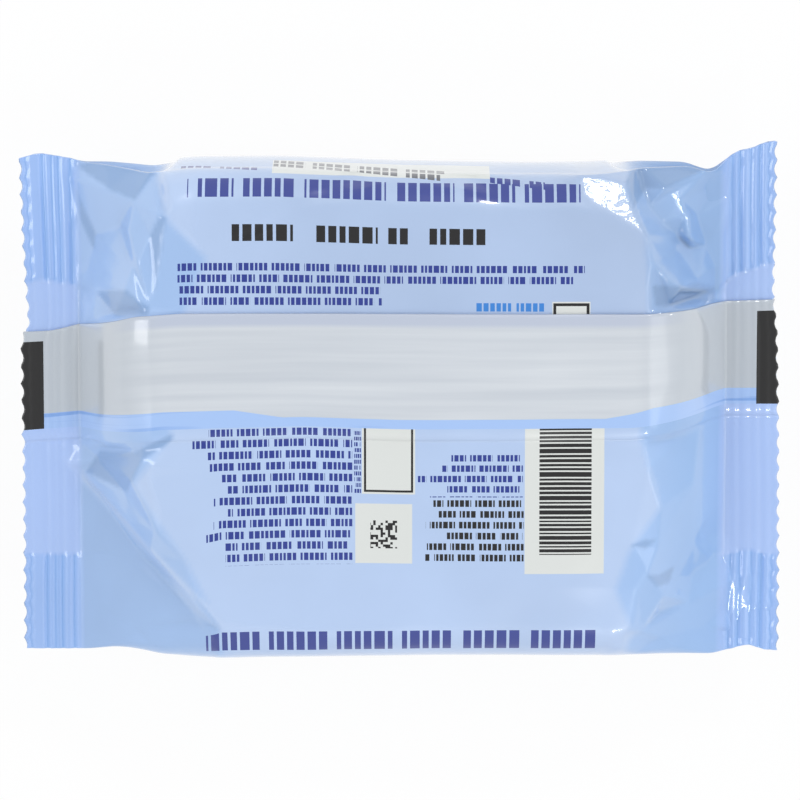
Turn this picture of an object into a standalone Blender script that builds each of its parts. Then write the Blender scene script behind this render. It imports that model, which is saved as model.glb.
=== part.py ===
"""A sealed flow-wrap pack of wet wipes.

One printed film is wrapped round the stack of wipes, closed along its back by a fin seal that is folded flat, and
closed at both ends by crimped seals with a gusset tucked in at each corner. The pack lies on its front with the fin
up: +X along the pack, +Y towards the fin's free edge, +Z up, the origin under the middle of the pack.
"""

from collections import namedtuple
import math

import bmesh
import bpy
from mathutils import Vector, geometry

MM = 0.001

# The pack over all, and the stack of wipes that fills it
PACK_LENGTH = 158.8 * MM
BODY_WIDTH = 104.4 * MM
BODY_OFFSET = -1.2 * MM  # y of the body's middle, from the seals' middle
BODY_HEIGHT = 43.2 * MM
STACK_LENGTH = 101.0 * MM
STACK_CORNER = 8.0 * MM
SIDE_BULGE = 1.4 * MM
SHOULDER = 1.7  # above 1, the film bulges out between the stack and the seal

# The crimped end seals, two films thick in the middle and four over the gusset tucks
SEAL_DEPTH = 11.7 * MM
SEAL_HEIGHT = 22.0 * MM  # of the seals' middle above the floor
SEAL_THICK = 0.8 * MM
TUCK_THICK = 1.2 * MM
TUCK_SLIT = 0.3 * MM
TUCK_STEP = 3.0 * MM
TUCK_DEPTH = 26.5 * MM
TUCK_TAPER = 0.85  # 1 lets the gusset deepen evenly from the stack to the seal
FOLD_RADIUS = 0.22 * MM
CRIMP_PITCH = 2.3 * MM
CRIMP_RISE = 0.35 * MM
CRIMP_FAINT = 0.3  # share of the crimp's rise where there are only two films
SCALLOP_PITCH = 3.6 * MM
SCALLOP_DEPTH = 0.7 * MM

# How far the side edges leave the body's: in beside the seal and half way to it, out at the cut end
SEAL_DRAW = 0.6 * MM
WAIST_DRAW = 1.3 * MM
TIP_FLARE = 3.3 * MM

# The flat facet in each corner of the back: where its upper fold starts on the seal, how far from the seal it meets
# the side, and the bank that joins it to the panel above it
FACET_START = 31.0 * MM
FACET_REACH = 30.5 * MM
FACET_BAND = 9.0 * MM
FRONT_FACET_START = 26.0 * MM
FRONT_FACET_REACH = 21.0 * MM
FRONT_FACET_BAND = 8.0 * MM

# The fin seal along the back, from its rolled base to its free edge
FIN_BASE_LEFT = -6.9 * MM
FIN_BASE_MIDDLE = -3.7 * MM
FIN_BASE_RIGHT = -1.2 * MM
FIN_HEIGHT_LEFT = 21.2 * MM
FIN_HEIGHT_MIDDLE = 23.9 * MM
FIN_HEIGHT_RIGHT = 22.4 * MM
FIN_STRAIGHT = 45.0 * MM  # half the length over which the fin runs straight
FIN_THICK = 0.5 * MM
FIN_GAP = 0.3 * MM
FIN_ROLL = 2.2 * MM
FIN_BRIDGE = 1.3 * MM  # how far the fin stands off the slope beside each seal
MARK_LENGTH = 4.6 * MM

# Creases of the back film
CREASE_RISE = 1.0 * MM
CREASE_LIMIT = 0.4  # a crease sinks by at most this share of the pack's own height there
CREASE_APART = 3.4 * MM
CREASE_FADE = 3.0 * MM
FIN_FADE = 2.0 * MM

# How many faces go along and round the loft
CRIMP_STEPS = 2
SLOPE_STEPS = 11
SHOULDER_STEPS = 5
MIDDLE_STEPS = 6
SHOULDER_REACH = 17.0 * MM
UNDER_FIN_STEPS = 5
HIGH_PANEL_STEPS = 12
LOW_PANEL_STEPS = 16
FRONT_STEPS = 8
ARC_STEPS = 4
LEG_STEPS = 3
SCALLOP_STEPS = 4

# How much each corner has of SEAL_DRAW, WAIST_DRAW, TIP_FLARE, TUCK_DEPTH and the three facet sizes, by (end, side):
# -1 is left or low, +1 is right or high
Corner = namedtuple("Corner", "draw waist flare tuck start reach band")
CORNERS = {
    (-1, -1): Corner(draw=1.0, waist=1.0, flare=-0.15, tuck=0.78, start=0.5, reach=1.0, band=1.0),
    (-1, 1): Corner(draw=0.8, waist=0.9, flare=0.06, tuck=1.0, start=0.8, reach=0.62, band=0.75),
    (1, -1): Corner(draw=-0.5, waist=0.15, flare=-0.12, tuck=0.78, start=1.0, reach=0.75, band=0.9),
    (1, 1): Corner(draw=1.0, waist=1.15, flare=1.0, tuck=0.97, start=0.71, reach=0.82, band=0.8),
}

# The creases at each end, each a line of points (out, up, rise). Out is 0 at the stack's end and 1 at the seal, up is
# 0 at the fin and 1 at the side edge, and rise is a share of CREASE_RISE. The stiff film is nearly flat between them.
CREASES = {
    -1: (
        ((0.97, 0.97, -0.6), (0.57, 0.87, 0.9), (0.25, 0.84, 0.6), (-0.07, 0.98, 0.2)),
        ((0.65, 0.99, -1.8), (0.57, 0.87, 0.9)),
        ((0.19, 0.98, -1.8), (0.25, 0.84, 0.6)),
        ((1.0, 0.9, 0.0), (0.77, 0.69, -1.0), (0.8, 0.62, -0.8)),
        ((0.42, 0.74, -0.6), (0.25, 0.59, -0.4), (0.05, 0.44, -0.6)),
        ((0.25, 0.84, 0.6), (0.04, 0.71, -0.9), (0.01, 0.57, -0.5), (0.05, 0.44, -0.6)),
        ((0.31, 0.73, 0.8), (0.17, 0.6, 1.2), (0.05, 0.44, -0.6)),
        ((0.04, 0.71, -0.9), (-0.1, 0.8, 1.0), (-0.17, 0.78, 1.1), (-0.09, 0.61, 0.5), (-0.02, 0.49, -0.3)),
        ((-0.01, 0.96, 0.6), (-0.17, 0.78, 1.1), (-0.66, 0.62, 0.2)),
        ((0.76, 0.46, -0.3), (0.35, 0.48, 0.5), (0.18, 0.44, 0.3), (0.06, 0.39, -0.6)),
        ((0.76, 0.46, -0.3), (0.51, 0.37, -2.2), (0.06, 0.39, -0.6)),
        ((1.0, -0.28, 0.2), (0.36, -0.45, 1.0), (0.07, -0.55, 1.2), (-0.51, -0.73, 0.8), (-0.84, -0.86, -0.2)),
        ((0.81, -0.35, -0.5), (0.18, -0.6, -0.3), (-0.51, -0.8, -0.4)),
        ((1.0, -0.28, 0.2), (0.38, -0.34, -0.9), (0.28, -0.27, 0.0), (0.15, -0.19, 0.4), (-0.23, -0.11, 0.3)),
        ((0.38, -0.34, -0.9), (-0.03, -0.46, -0.4), (-0.39, -0.58, 0.1), (-0.75, -0.8, 0.3)),
        ((0.99, -0.17, 0.4), (0.75, -0.22, -2.0), (0.25, -0.17, -1.3), (0.11, -0.13, -0.9)),
        ((0.75, -0.22, -2.0), (0.28, -0.27, 0.0)),
        ((-0.81, -0.94, -0.3), (-1.29, -0.83, 0.3), (-1.83, -0.92, 0.0)),
        ((-1.83, 0.82, 0.2), (-2.19, 0.9, -0.6), (-2.49, 0.97, 0.2)),
    ),
    1: (
        ((-0.81, 0.87, 0.1), (-0.42, 0.8, 0.7), (-0.01, 0.71, 0.9)),
        ((-0.76, 0.96, -1.5), (-0.48, 0.94, -2.2), (-0.24, 0.92, -2.9), (-0.13, 0.81, -1.0), (-0.01, 0.71, 0.9)),
        ((-0.24, 0.92, -2.9), (-0.11, 1.0, -1.4), (-0.02, 0.87, -2.8), (-0.01, 0.71, 0.9)),
        ((0.99, 0.98, 0.3), (0.71, 0.95, 1.5), (0.24, 0.88, 1.2), (-0.02, 0.87, -2.8)),
        ((0.99, 0.92, 0.0), (0.88, 0.87, -0.9), (0.56, 0.76, 0.4)),
        ((0.24, 0.88, 1.2), (0.46, 0.84, 0.4), (0.56, 0.76, 0.4), (0.53, 0.66, -0.6)),
        ((0.04, 0.82, -1.2), (0.2, 0.75, 0.3), (0.37, 0.7, 0.2), (0.53, 0.66, -0.6)),
        ((-0.01, 0.71, 0.9), (0.39, 0.67, -0.9), (0.53, 0.66, -0.6), (0.75, 0.65, -0.6), (0.87, 0.7, 0.1)),
        ((-0.01, 0.71, 0.9), (0.07, 0.61, 0.4), (0.24, 0.53, 0.9), (0.39, 0.5, 1.2), (0.61, 0.52, 0.9),
         (0.87, 0.56, 0.0)),
        ((-0.01, 0.71, 0.9), (0.01, 0.51, 1.0), (0.02, 0.41, 0.2)),
        ((0.07, 0.61, 0.4), (0.26, 0.43, -1.6), (0.87, 0.46, -0.6)),
        ((-0.07, -0.09, 0.3), (0.03, -0.22, 0.9), (0.17, -0.37, 1.0), (0.14, -0.53, -0.8), (-0.16, -0.51, 0.2)),
        ((-0.16, -0.51, 0.2), (-0.34, -0.69, 0.3), (-0.15, -0.85, -0.5), (-0.03, -0.86, 0.3), (0.55, -0.78, 1.0)),
        ((0.14, -0.53, -0.8), (0.03, -0.62, 0.8), (0.39, -0.68, -1.0), (0.24, -0.72, 0.7), (-0.03, -0.86, 0.3)),
        ((0.17, -0.37, 1.0), (0.59, -0.29, 0.9), (0.61, -0.54, -0.8), (0.39, -0.68, -1.0)),
        ((0.61, -0.54, -0.8), (0.85, -0.62, 0.6), (0.55, -0.78, 1.0), (0.79, -0.89, -0.4)),
        ((-2.16, 0.97, 0.2), (-1.71, 0.9, -0.5), (-1.2, 0.85, 0.2)),
    ),
}
LEVEL_OUT = (-3.0, -1.8, -1.1, -0.5, 1.02, 1.5, 1.95)  # where the film is level between and beyond the creases
LEVEL_ROWS = 14


def blend(start, end, share):
    return start + (end - start) * share


def clamp(value):
    return min(max(value, 0.0), 1.0)


def ease(share):
    share = clamp(share)
    return share * share * (3.0 - 2.0 * share)


def seal_line():
    return PACK_LENGTH / 2 - SEAL_DEPTH


def past_seal(x):
    """Distance from the seal's inner edge towards the middle of the pack, 0 or less in the seal."""
    return seal_line() - abs(x)


def slope_length():
    return seal_line() - STACK_LENGTH / 2


def end_of(x):
    return 1 if x > 0 else -1


def body_edge(side):
    return BODY_OFFSET + side * BODY_WIDTH / 2


def side_edge(x, side):
    """y of the film's side edge: straight along the stack, waisted before the seal, flared at the cut end."""
    corner = CORNERS[end_of(x), side]
    body = body_edge(side)
    at_seal = body - side * SEAL_DRAW * corner.draw
    at_waist = body - side * WAIST_DRAW * corner.waist
    inwards = past_seal(x)
    if inwards < 0:
        return blend(at_seal, body + side * TIP_FLARE * corner.flare, ease(-inwards / SEAL_DEPTH))
    half = slope_length() / 2
    if inwards < half:
        return blend(at_seal, at_waist, ease(inwards / half))
    return blend(at_waist, body, ease((inwards - half) / half))


def doubled(x, y):
    """0 where the seal has two films and 1 over a tuck, where it has four."""
    side = 1 if y > 0 else -1
    tuck_end = abs(side_edge(x, side)) - TUCK_DEPTH * CORNERS[end_of(x), side].tuck
    return ease((abs(y) - tuck_end) / TUCK_STEP)


def half_thick(x, y):
    """Half the thickness of the layers of film in the seal."""
    return blend(SEAL_THICK, TUCK_THICK, doubled(x, y)) / 2


def crimp(x, y):
    """Height of the crimp's ridges, which run across the seal."""
    into_seal = -past_seal(x)
    if into_seal <= 0:
        return 0.0
    ridges = max(1, round(SEAL_DEPTH / CRIMP_PITCH))
    strength = CRIMP_RISE * blend(CRIMP_FAINT, 1.0, doubled(x, y))
    return strength * (math.cos(2 * math.pi * ridges * into_seal / SEAL_DEPTH) - 1.0)


def panel_rise(x):
    """0 at the seal and 1 over the stack, along the middle of a panel."""
    share = clamp(past_seal(x) / slope_length())
    return 1.0 - (1.0 - share) ** SHOULDER


def facet_rise(x, reach):
    """0 at the seal and 1 where the corner's facet ends on the side of the pack."""
    return clamp(past_seal(x) / reach)


def inside_fold(x, y, side, start, reach):
    """Distance of a point from the facet's upper fold, towards the middle of the panel."""
    end = end_of(x)
    along = Vector((-end * reach, body_edge(side) - start)).normalized()
    across = Vector((along.y, -along.x))
    if across.x * end > 0:
        across.negate()
    return (Vector((x, y)) - Vector((end * seal_line(), start))).dot(across)


def rise(x, y, front):
    """How full the pack is at a point of its front or back panel, from 0 at the seal to 1 over the stack."""
    side = 1 if y > BODY_OFFSET else -1
    corner = CORNERS[end_of(x), side]
    if front:
        start, reach, band = side * FRONT_FACET_START, FRONT_FACET_REACH, FRONT_FACET_BAND
    else:
        start, reach, band = side * FACET_START * corner.start, FACET_REACH * corner.reach, FACET_BAND * corner.band
    low = min(facet_rise(x, reach), panel_rise(x))
    return blend(low, panel_rise(x), ease(inside_fold(x, y, side, start, reach) / band))


def on_pack(end, out, up, share):
    """The point (x, y, height) of a crease, from its shares."""
    x = end * (STACK_LENGTH / 2 + out * slope_length())
    return Vector((x, up * BODY_WIDTH / 2 + abs(up) * BODY_OFFSET, share * CREASE_RISE))


def crease_facets():
    """The triangles between the creases and the level film round them, as corners (x, y, height)."""
    points, lines = [], []
    for end, creases in CREASES.items():
        for crease in creases:
            points += [on_pack(end, *point) for point in crease]
            lines += [(n - 1, n) for n in range(len(points) - len(crease) + 1, len(points))]
    for end in (-1, 1):
        for out in LEVEL_OUT:
            for row in range(LEVEL_ROWS + 1):
                level = on_pack(end, out, 1.15 * (2 * row / LEVEL_ROWS - 1), 0.0)
                if all((level.xy - point.xy).length > CREASE_APART for point in points):
                    points.append(level)
    filled = geometry.delaunay_2d_cdt([point.xy / MM for point in points], lines, [], 0, 1e-4)
    corners, faces, origins = filled[0], filled[2], filled[3]
    placed = [Vector((*corner * MM, points[origin[0]].z if origin else 0.0)) for corner, origin in zip(corners, origins)]
    return [tuple(placed[n] for n in face) for face in faces]


FACETS = crease_facets()


def crease_height(x, y):
    """How far the creases lift the back film, limited so that it never sinks into the folds beneath it."""
    for a, b, c in FACETS:
        if min(a.x, b.x, c.x) <= x <= max(a.x, b.x, c.x) and geometry.intersect_point_tri_2d((x, y), a.xy, b.xy, c.xy):
            flat = [Vector((corner.x, corner.y, 0.0)) for corner in (a, b, c)]
            height = geometry.barycentric_transform(Vector((x, y, 0.0)), *flat, a, b, c).z
            break
    else:
        return 0.0
    deepest = -CREASE_LIMIT * (BODY_HEIGHT - SEAL_HEIGHT) * rise(x, y, front=False)
    beyond_fin = max(y - fin_base(x) - fin_height(x), fin_base(x) - FIN_ROLL - y)
    return max(height, deepest) * ease(past_seal(x) / CREASE_FADE) * ease(beyond_fin / FIN_FADE)


def smooth_height(x, y):
    """Height of the back panel without its creases."""
    over_seal = BODY_HEIGHT - SEAL_HEIGHT - SEAL_THICK / 2
    return SEAL_HEIGHT + crimp(x, y) + half_thick(x, y) + over_seal * rise(x, y, front=False)


def back_height(x, y):
    return smooth_height(x, y) + crease_height(x, y)


def front_height(x, y):
    under_seal = SEAL_HEIGHT - SEAL_THICK / 2
    full = rise(x, y, front=True)
    thick = blend(half_thick(x, y), SEAL_THICK / 2, full)
    return SEAL_HEIGHT + crimp(x, y) - thick - under_seal * full


def along_fin(x, left, middle, right):
    """A size of the fin at x, from its values at the left end, over its straight middle and at the right end."""
    outwards = (abs(x) - FIN_STRAIGHT) / (PACK_LENGTH / 2 - FIN_STRAIGHT)
    return blend(middle, left if x < 0 else right, ease(outwards))


def fin_base(x):
    return along_fin(x, FIN_BASE_LEFT, FIN_BASE_MIDDLE, FIN_BASE_RIGHT)


def fin_height(x):
    return along_fin(x, FIN_HEIGHT_LEFT, FIN_HEIGHT_MIDDLE, FIN_HEIGHT_RIGHT)


def fin_lift(x):
    """The stiff fin bridges the hollow between the stack and the seal."""
    share = clamp(past_seal(x) / slope_length())
    return FIN_BRIDGE * math.sin(math.pi * share) ** 2


def quarter(start, corner, end, steps):
    """Points of a rounded corner after its start, as a curve from start to end pulled towards the corner."""
    points = []
    for step in range(1, steps + 1):
        angle = math.pi / 2 * step / steps
        to_end, to_start = 1.0 - math.cos(angle), 1.0 - math.sin(angle)
        points.append(
            tuple(corner[i] + (start[i] - corner[i]) * to_start + (end[i] - corner[i]) * to_end for i in (0, 1))
        )
    return points


def corner_radius(x, y, front):
    return blend(FOLD_RADIUS, STACK_CORNER, rise(x, y, front) ** 1.5)


def leg(outer, inner, bulge, share):
    """A point on one face of the side, from its outer edge to the tuck's fold, bowed outwards by the wipes."""
    y, z = (blend(outer[i], inner[i], share) for i in (0, 1))
    return y + bulge * share * (1.0 - share), z


def side_full(x, side):
    """How full the pack is at its side edge."""
    edge = side_edge(x, side)
    return (rise(x, edge, front=False) + rise(x, edge, front=True)) / 2


def side_section(x, side):
    """(y, z) down one side of the pack: rounded edge, tucked gusset, rounded edge."""
    edge, full = side_edge(x, side), side_full(x, side)
    top, bottom = back_height(x, edge), front_height(x, edge)
    top_radius = corner_radius(x, edge, front=False)
    bottom_radius = corner_radius(x, edge, front=True)
    tuck = TUCK_DEPTH * CORNERS[end_of(x), side].tuck * (1.0 - full) ** TUCK_TAPER
    middle = SEAL_HEIGHT + crimp(x, edge)
    inset = side * SIDE_BULGE * full
    shoulder = (edge - inset, top - top_radius)
    hip = (edge - inset, bottom + bottom_radius)
    tuck_top = (edge - side * tuck, middle + TUCK_SLIT / 2)
    tuck_bottom = (edge - side * tuck, middle - TUCK_SLIT / 2)
    points = quarter((shoulder[0] - side * top_radius, top), (shoulder[0], top), shoulder, ARC_STEPS)
    points += [leg(shoulder, tuck_top, inset, n / LEG_STEPS) for n in range(1, LEG_STEPS + 1)]
    points += [leg(hip, tuck_bottom, inset, n / LEG_STEPS) for n in range(LEG_STEPS, -1, -1)]
    points += quarter(hip, (hip[0], bottom), (hip[0] - side * bottom_radius, bottom), ARC_STEPS)
    return points


def panel_start(x, side):
    """y where a back panel meets its rounded side edge."""
    edge = side_edge(x, side)
    return edge - side * (SIDE_BULGE * side_full(x, side) + corner_radius(x, edge, front=False))


def fin_section(x):
    """(y, z) round the fin: up from its rolled base, out along its top, round the free edge and back beneath."""
    base, lift = fin_base(x), fin_lift(x)
    shares = [step / UNDER_FIN_STEPS for step in range(UNDER_FIN_STEPS + 1)]
    run = [blend(base + FIN_ROLL / 2, base + fin_height(x), share) for share in shares]
    under = [(y, smooth_height(x, y) + FIN_GAP + lift * ease(share * 3)) for y, share in zip(run, shares)]
    over = [(y, z + FIN_THICK) for y, z in under]
    foot = base - FIN_ROLL
    roll = [
        (foot + FIN_ROLL / 4, smooth_height(x, foot) + FIN_GAP),
        (base, over[0][1] + FIN_GAP / 2),
    ]
    free_edge = (run[-1] + FIN_THICK / 2, (under[-1][1] + over[-1][1]) / 2)
    root = (run[0] - FIN_ROLL / 4, smooth_height(x, base) + FIN_GAP / 2)
    beneath = [(y, back_height(x, y)) for y in run]
    return roll + over + [free_edge] + under[::-1] + [root] + beneath


def section(x):
    """The whole outline across the pack at x, as one closed ring of (y, z)."""
    ring = fin_section(x)
    high, low = panel_start(x, 1), panel_start(x, -1)
    fin_edge = ring[-1][0]
    for step in range(1, HIGH_PANEL_STEPS + 1):
        y = blend(fin_edge, high, step / HIGH_PANEL_STEPS)
        ring.append((y, back_height(x, y)))
    ring += side_section(x, 1)
    front_high, front_low = ring[-1][0], side_section(x, -1)[-1][0]
    for step in range(1, FRONT_STEPS + 1):
        y = blend(front_high, front_low, step / FRONT_STEPS)
        ring.append((y, front_height(x, y)))
    ring += side_section(x, -1)[-2::-1]
    foot = fin_base(x) - FIN_ROLL
    for step in range(LOW_PANEL_STEPS + 1):
        y = blend(low, foot, step / LOW_PANEL_STEPS)
        ring.append((y, back_height(x, y)))
    return ring


def stations():
    """x of each ring of the loft, close together in the crimps and where the film folds."""
    half = PACK_LENGTH / 2
    ridges = max(1, round(SEAL_DEPTH / CRIMP_PITCH))
    shoulder = STACK_LENGTH / 2 - SHOULDER_REACH
    outwards = [shoulder * n / (MIDDLE_STEPS / 2) for n in range(MIDDLE_STEPS // 2)]
    outwards += [blend(shoulder, STACK_LENGTH / 2, n / SHOULDER_STEPS) for n in range(SHOULDER_STEPS)]
    outwards += [blend(STACK_LENGTH / 2, seal_line(), n / SLOPE_STEPS) for n in range(SLOPE_STEPS)]
    seal_steps = ridges * CRIMP_STEPS
    outwards += [blend(seal_line(), half, n / seal_steps) for n in range(seal_steps + 1)]
    return [-x for x in reversed(outwards[1:])] + outwards


def scallop(y):
    """How far the knife's scallops cut in: pointed teeth with round hollows between them."""
    return SCALLOP_DEPTH * abs(math.sin(math.pi * y / SCALLOP_PITCH))


def scalloped(mesh, x):
    """The cut end at x, as one list of vertices for each stretch of the section's outline."""
    outline = section(x)
    stretches = []
    for (y, z), (next_y, next_z) in zip(outline, outline[1:] + outline[:1]):
        cuts = max(1, round(abs(next_y - y) * SCALLOP_STEPS / SCALLOP_PITCH))
        points = [(blend(y, next_y, n / cuts), blend(z, next_z, n / cuts)) for n in range(cuts)]
        stretches.append([mesh.verts.new((x - end_of(x) * scallop(py), py, pz)) for py, pz in points])
    return stretches


def close_end(mesh, stretches):
    """Fills a cut end between its layers of film."""
    rim = [vert for stretch in stretches for vert in stretch]
    flat = [Vector((vert.co.y, vert.co.z)) / MM for vert in rim]
    filled = geometry.delaunay_2d_cdt(flat, [], [list(range(len(rim)))], 1, 1e-6)
    faces, origins = filled[2], filled[3]
    for face in faces:
        mesh.faces.new([rim[origins[n][0]] for n in face])


def principled(name, colour, roughness):
    material = bpy.data.materials.new(name)
    material.use_nodes = True
    shader = material.node_tree.nodes["Principled BSDF"]
    shader.inputs["Base Color"].default_value = (*colour, 1.0)
    shader.inputs["Roughness"].default_value = roughness
    shader.inputs["Metallic"].default_value = 0.0
    return material


def build_pack():
    mesh = bmesh.new()
    places = stations()
    first, last = scalloped(mesh, places[0]), scalloped(mesh, places[-1])
    between = [[[mesh.verts.new((x, y, z))] for y, z in section(x)] for x in places[1:-1]]
    rings = [first] + between + [last]
    count = len(first)
    fin_faces = range(1, UNDER_FIN_STEPS + 2)
    for ring, following in zip(rings, rings[1:]):
        for n in range(count):
            m = (n + 1) % count
            face = mesh.faces.new(following[n] + [following[m][0], ring[m][0]] + ring[n][::-1])
            if n in fin_faces:
                at_end = abs(face.calc_center_median().x) > PACK_LENGTH / 2 - MARK_LENGTH
                face.material_index = 2 if at_end else 1
    close_end(mesh, first)
    close_end(mesh, last)
    bmesh.ops.triangulate(mesh, faces=[face for face in mesh.faces if len(face.verts) > 4])
    bmesh.ops.recalc_face_normals(mesh, faces=mesh.faces)
    data = bpy.data.meshes.new("sealed_pack")
    mesh.to_mesh(data)
    mesh.free()
    data.shade_smooth()
    data.set_sharp_from_angle(angle=math.radians(35))
    pack = bpy.data.objects.new("sealed_pack", data)
    bpy.context.scene.collection.objects.link(pack)
    pack.data.materials.append(principled("printed_film", (0.46, 0.61, 0.86), 0.22))
    pack.data.materials.append(principled("bare_fin_film", (0.66, 0.70, 0.75), 0.3))
    pack.data.materials.append(principled("register_mark", (0.03, 0.03, 0.03), 0.35))
    return pack


for existing in list(bpy.data.objects):
    bpy.data.objects.remove(existing)
build_pack()
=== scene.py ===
"""The looks of a sealed flow-wrap pack of wet wipes that lies on its front, seen from above its back."""

import math

import bmesh
import bpy
import numpy as np
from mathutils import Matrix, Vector, geometry


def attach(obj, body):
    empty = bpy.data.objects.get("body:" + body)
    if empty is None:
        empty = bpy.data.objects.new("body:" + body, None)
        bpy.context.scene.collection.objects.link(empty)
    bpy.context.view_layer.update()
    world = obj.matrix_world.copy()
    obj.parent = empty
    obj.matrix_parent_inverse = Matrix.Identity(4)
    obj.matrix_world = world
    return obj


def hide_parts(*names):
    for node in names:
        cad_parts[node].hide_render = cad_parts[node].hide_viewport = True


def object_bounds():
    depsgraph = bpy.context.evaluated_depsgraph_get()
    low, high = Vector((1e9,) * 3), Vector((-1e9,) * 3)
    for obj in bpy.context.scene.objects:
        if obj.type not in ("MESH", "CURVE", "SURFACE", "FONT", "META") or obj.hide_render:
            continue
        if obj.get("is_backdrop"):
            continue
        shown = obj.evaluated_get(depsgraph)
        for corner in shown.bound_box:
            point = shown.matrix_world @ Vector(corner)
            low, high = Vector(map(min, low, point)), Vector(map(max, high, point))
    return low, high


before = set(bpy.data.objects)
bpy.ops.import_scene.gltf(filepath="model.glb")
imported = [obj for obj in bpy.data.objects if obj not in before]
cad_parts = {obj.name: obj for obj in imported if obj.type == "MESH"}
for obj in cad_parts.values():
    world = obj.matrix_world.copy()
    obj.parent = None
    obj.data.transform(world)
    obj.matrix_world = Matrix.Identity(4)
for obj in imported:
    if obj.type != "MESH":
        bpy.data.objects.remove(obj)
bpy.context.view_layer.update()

MM = 0.001

# The camera looks almost straight down on the pack and leans a little over its upper long side, from far enough
# away that the pack shows with hardly any perspective.
CAMERA_AWAY = 0.85
CAMERA_LEAN = math.radians(7.0)
VIEW_WIDTH = 168.0 * MM  # what the square frame takes in at the height of the end seals
SEAL_HEIGHT = 22.0 * MM
SENSOR = 36.0

camera_data = bpy.data.cameras.new("camera")
camera_data.sensor_width = SENSOR
camera_data.lens = SENSOR * CAMERA_AWAY / VIEW_WIDTH
camera_data.clip_start, camera_data.clip_end = 0.01, 10.0
camera = bpy.data.objects.new("camera", camera_data)
bpy.context.scene.collection.objects.link(camera)
aim = Vector((0.0, 0.0, SEAL_HEIGHT))
camera.location = aim + CAMERA_AWAY * Vector((0.0, math.sin(CAMERA_LEAN), math.cos(CAMERA_LEAN)))
camera.rotation_euler = (-CAMERA_LEAN, 0.0, 0.0)
bpy.context.scene.camera = camera

# The wrapping film: one printed sheet, wrapped round the wipes, joined along the back by the fin seal and crimped
# shut at both ends with a gusset tucked in at each corner. It starts as a flat grid, which is then folded round the
# pack.

# Where the film is cut off at each end, as (y, x) in mm
LEFT_END = ((-52, -79.5), (-8, -79.5), (13, -79.6), (16, -78.1), (24, -78.6), (34, -79.1), (50, -79.6))
RIGHT_END = ((-52, 80.2), (-10, 79.9), (14, 79.3), (22, 78.5), (50, 78.7))
HALF_LENGTH = 79.0 * MM
LEFT_SEAL = -67.2 * MM  # inner edges of the crimped end seals
RIGHT_SEAL = 68.2 * MM
LEFT_STACK = -50.5 * MM  # ends of the stack of wipes under the film
RIGHT_STACK = 50.4 * MM
BACK_HEIGHT = 43.2 * MM
STACK_CORNER = 8.0 * MM  # radius of the long edges over the stack
CORNER_SHRINKS = 1.5  # how quickly that radius shrinks down the slopes
SIDE_BULGE = 1.4 * MM
SHOULDER = 1.7  # how round a slope is where it reaches the stack
FOLD_END = 50.0 * MM  # how far from the middle line the facets' upper folds end
BANK_NARROWS = 0.25  # share of a facet's bank that is left at its far end
SEAL_THICK = 0.7 * MM
TUCK_THICK = 1.3 * MM
TUCK_SLIT = 0.25 * MM
TUCK_STEP = 0.8 * MM
TUCK_TAPER = 0.85
FOLD_RADIUS = 0.2 * MM
LINE_SPREAD = 1.2 * MM  # over which the joints of a traced line are rounded
CRIMPS = {  # hollows that the jaws press into each seal: mm out from its inner edge, and how deep
    -1: ((1.4, 0.8), (3.8, 0.9), (5.2, 0.7), (6.9, 1.0), (10.4, 0.5)),
    1: ((1.1, 0.7), (2.9, 0.9), (5.2, 0.6), (7.1, 1.0), (9.3, 0.6)),
}
CRIMP_DEPTH = 0.6 * MM
CRIMP_WIDTH = 0.55 * MM
CRIMP_FAINT = 0.2  # share of the depth where there are only two films
CRIMP_WANDER = 0.12 * MM  # the hollows are not quite straight
CRIMP_WAVE = 8.0 * MM
SCALLOP_PITCH = 3.6 * MM
SCALLOP_DEPTH = 0.7 * MM
SCALLOP_REACH = 3.0 * MM
INNER_SET_BACK = 0.5 * MM  # how far the films between stay inside the outer ones at the cut ends
FRONT_SET_BACK = 0.25 * MM
FIN_THICK = 0.4 * MM
FIN_GAP = 0.3 * MM
FIN_ROLL = 2.0 * MM
FIN_BRIDGE = 1.3 * MM
FIN_CLEARS = 2.0 * MM  # beside the fin the creases fade out over this
# The sealing wheels' marks along the fin: height in mm, wavelength, and how far from the fold they go
WHEEL_MARK, WHEEL_WAVE, WHEEL_REACH = 0.10, 1.5 * MM, 8.0 * MM

# Rows of the grid over each part of the film
FIN_ROWS, HIDDEN_STEP = 30, 5  # under the fin only every fifth is kept
ROLL_ROWS, SHOULDER_ROWS, GUSSET_ROWS, HIP_ROWS = 9, 18, 14, 8
UPPER_ROWS, LOWER_ROWS, FRONT_ROWS = 54, 82, 84

# Side edges of the film, the fin's base and its free edge, as (x, y) in mm from left to right
HIGH_EDGE = ((-80, 50.6), (-75, 51.9), (-68, 50.7), (-66.5, 50.1), (-61, 50.2), (-56, 49.9), (-52, 49.6), (-46, 50.8),
             (-42, 51.1), (-25, 51.2), (0, 50.3), (25, 49.9), (38, 50.0), (50, 50.6), (60, 50.1), (62.5, 49.0),
             (65, 48.3), (68.5, 51.0), (70.5, 52.4), (74, 53.0), (76, 54.1), (80, 54.5))
LOW_EDGE = ((-80, -52.8), (-72, -52.9), (-66, -52.8), (-60, -52.1), (-57, -52.2), (-54, -52.6), (-50, -53.4),
            (-46, -53.6), (-38, -53.7), (-28, -53.4), (0, -53.3), (43, -53.1), (54, -53.1), (60, -53.3), (66, -53.7),
            (70.5, -52.8), (73, -51.8), (75.6, -53.1), (80, -53.3))
FIN_BASE = ((-80, -6.9), (-62, -5.6), (-49, -4.0), (-20, -3.3), (0, -3.9), (48, -3.7), (58, -2.4), (66, -1.2),
            (80, -1.2))
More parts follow.
